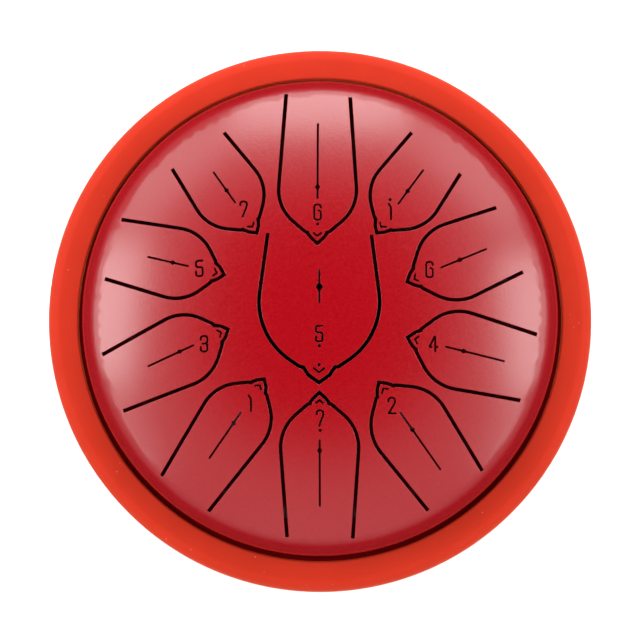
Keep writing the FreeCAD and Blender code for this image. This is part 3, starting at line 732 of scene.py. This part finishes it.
def make_top(material):
    """The top shell and its eleven tongues."""
    joints = {joint["child"]: joint for joint in frame["joints"]}
    roots = {}
    for name, joint in joints.items():
        outlines = outlines_of(name)
        outer = max(outlines, key=area_of)
        roots[name] = root_of(joint, outer)
        cuts = []
        for outline in outlines:
            whole = outline is outer
            plan, on_root = tidy_outline(outline, roots[name] if whole else None)
            cuts.append((plan, on_root, CUT_ROUNDING if whole else MARK_ROUNDING))
        points, faces, normals, _low = cut_sheet(cuts, TONGUE_GRID)
        piece = make_piece(name + "_skin", points, faces, normals, material)
        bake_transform(piece)
        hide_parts(name)
    make_shell(roots, material)


def make_shell(roots, material):
    """The top shell: the cut dome and the pressed wall in one skin."""
    rows = shell_profile()
    rim = (circle(RIM_RADIUS, SHELL_SEGMENTS), circle(RIM_RADIUS, SHELL_SEGMENTS))
    holes = [outline for outline in outlines_of("top_shell") if area_of(outline) < 0]
    cuts = []
    for outline in holes:
        root = min(roots.values(), key=lambda pair: root_distance(outline, pair))
        plan, on_root = tidy_outline(outline, root)
        cuts.append((plan, on_root, CUT_ROUNDING))
    points, faces, normals, low_start = cut_sheet(cuts, SHELL_GRID, rim)
    points = [tuple(point) for point in points]
    starts = spin(rows[1:-1], SHELL_SEGMENTS, points, faces, normals, closed=False)
    turns = np.arange(SHELL_SEGMENTS) * 2 * math.pi / SHELL_SEGMENTS
    join_rings(low_start, starts[0], rows[0], rows[1], turns, faces, normals)
    join_rings(starts[-1], 0, rows[-2], rows[-1], turns, faces, normals)
    piece = make_piece("top_shell_skin", points, faces, normals, material)
    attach(piece, "drum")
    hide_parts("top_shell")


def root_distance(outline, root):
    """How far the outline is from both of a root's corners."""
    return sum(np.linalg.norm(outline - corner, axis=1).min() for corner in root)


def make_band(material):
    """The silicone band round the seam: its gripping slot, rounded lips and a fine parting line."""
    low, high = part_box("rim_ring")
    outer, upper, lower = high.x / MM, high.z / MM, low.z / MM
    middle = (lower + upper) / 2
    around = points_of("rim_ring")
    across = np.hypot(around[:, 0], around[:, 1])
    lip = across.min()
    slot_half = np.abs(around[across < lip + FACE_TOLERANCE, 2] - middle).min()
    within = np.abs(around[:, 2] - middle) < slot_half + FACE_TOLERANCE
    slot_end = across[within & (across < outer - 1)].max()
    large, small = BAND_OUTER_ROUNDING, BAND_LIP_ROUNDING
    rows = arc((lip + small, lower + small), small, 180, 270, 8)
    rows += straight((lip + small, lower), (outer - large, lower), 4)
    rows += arc((outer - large, lower + large), large, 270, 360, 16)
    for step in np.linspace(-1, 1, 9):
        height = PARTING_RIDGE * math.cos(step * math.pi / 2) ** 2
        rows.append((outer - height, middle + step * PARTING_HALF, 1, 0))
    rows += arc((outer - large, upper - large), large, 0, 90, 16)
    rows += straight((outer - large, upper), (lip + small, upper), 4)
    rows += arc((lip + small, upper - small), small, 90, 180, 8)
    edge = SLOT_EDGE_ROUNDING
    rows += arc((lip + edge, middle + slot_half + edge), edge, 180, 270, 5)
    rows += hollow_arc((slot_end - edge, middle + slot_half - edge), edge, 90, 0, 5)
    rows += hollow_arc((slot_end - edge, middle - slot_half + edge), edge, 0, -90, 5)
    rows += arc((lip + edge, middle - slot_half - edge), edge, 90, 180, 5)
    points, faces, normals = [], [], []
    spin(rows, BAND_SEGMENTS, points, faces, normals)
    piece = make_piece("rim_ring_skin", points, faces, normals, material)
    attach(piece, "drum")
    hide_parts("rim_ring")


# ---------------------------------------------------------------- camera, floor and light

def make_camera():
    """Camera almost straight above, at the long end."""
    low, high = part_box("rim_ring")
    target = (low + high) / 2
    back = Vector((0, -math.sin(TILT), math.cos(TILT)))
    data = bpy.data.cameras.new("camera")
    data.sensor_width = SENSOR_WIDTH
    data.lens = FOCAL_LENGTH
    data.shift_x, data.shift_y = LENS_SHIFT
    camera = bpy.data.objects.new("camera", data)
    bpy.context.scene.collection.objects.link(camera)
    facing = back.to_track_quat("Z", "Y").to_matrix()
    camera.rotation_mode = "QUATERNION"
    camera.rotation_quaternion = (facing @ Matrix.Rotation(-ROLL, 3, "Z")).to_quaternion()
    camera.location = target + back * TARGET_DISTANCE
    data.clip_start, data.clip_end = CLIP_RANGE
    bpy.context.scene.camera = camera


def make_floor(material):
    """A wide pale floor under the feet, turned up into a low round wall."""
    mesh = bmesh.new()
    disc = bmesh.ops.create_circle(mesh, cap_ends=True, segments=96, radius=FLOOR_RADIUS)
    rim = list({edge for vertex in disc["verts"] for edge in vertex.link_edges})
    raised = bmesh.ops.extrude_edge_only(mesh, edges=rim)["geom"]
    bmesh.ops.translate(mesh, verts=[v for v in raised if isinstance(v, bmesh.types.BMVert)],
                        vec=(0, 0, BACKDROP_HEIGHT))
    data = bpy.data.meshes.new("floor")
    mesh.to_mesh(data)
    mesh.free()
    floor = bpy.data.objects.new("floor", data)
    bpy.context.scene.collection.objects.link(floor)
    data.materials.append(material)
    floor.location.z = cad_box[0].z - FLOOR_GAP
    floor.visible_glossy = False


def softbox(name, azimuth, polar, radiance, width, height, mirrored):
    """A softbox that faces the drum."""
    target = Vector((0, 0, BOX_AIM))
    around, off = math.radians(azimuth), math.radians(polar)
    level = math.sin(off)
    way = Vector((math.cos(around) * level, math.sin(around) * level, math.cos(off)))
    side = Vector((-math.sin(around), math.cos(around), 0))
    data = bpy.data.lights.new(name, "AREA")
    data.shape = "RECTANGLE"
    data.size, data.size_y = width, height
    data.energy = radiance * math.pi * width * height
    light = bpy.data.objects.new(name, data)
    bpy.context.scene.collection.objects.link(light)
    light.location = target + way * BOX_DISTANCE
    light.rotation_mode = "QUATERNION"
    light.rotation_quaternion = Matrix((side, way.cross(side), way)).transposed().to_quaternion()
    light.visible_glossy = mirrored


def make_light():
    """Wide softboxes behind, left and right, in a ring of dimmer light with a dark middle."""
    for box in SOFTBOXES:
        softbox(*box)
    world = bpy.data.worlds.new("room")
    world.use_nodes = True
    tree = world.node_tree
    place = tree.nodes.new("ShaderNodeTexCoord")
    split = tree.nodes.new("ShaderNodeSeparateXYZ")
    lean = tree.nodes.new("ShaderNodeMapping")
    lean.inputs["Rotation"].default_value = (TILT, 0, 0)
    tree.links.new(place.outputs["Generated"], lean.inputs["Vector"])
    tree.links.new(lean.outputs["Vector"], split.inputs[0])
    glow = tree.nodes.new("ShaderNodeValToRGB")
    stops = glow.color_ramp.elements
    for polar, grey in RING_LIGHT:
        at = math.cos(math.radians(polar))
        stop = {0: stops[-1], 90: stops[0]}.get(polar) or stops.new(at)
        stop.position = at
        stop.color = (grey, grey, grey, 1)
    tree.links.new(split.outputs["Z"], glow.inputs["Fac"])
    tree.links.new(glow.outputs["Color"], tree.nodes["Background"].inputs["Color"])
    tree.nodes["Background"].inputs["Strength"].default_value = RING_STRENGTH
    bpy.context.scene.world = world
    bpy.context.scene.view_settings.view_transform = "Standard"


FINISHES = {
    "red_coat": powder_coat(),
    "orange_silicone": silicone(),
    "black_rubber": black_rubber(),
    "zinc_steel": zinc(),
}
for node in nodes.values():
    for holder in node.material_slots:
        holder.material = FINISHES[holder.material.name.split(".")[0]]
make_camera()
make_floor(pale_floor())
make_light()
make_top(FINISHES["red_coat"])
make_band(FINISHES["orange_silicone"])
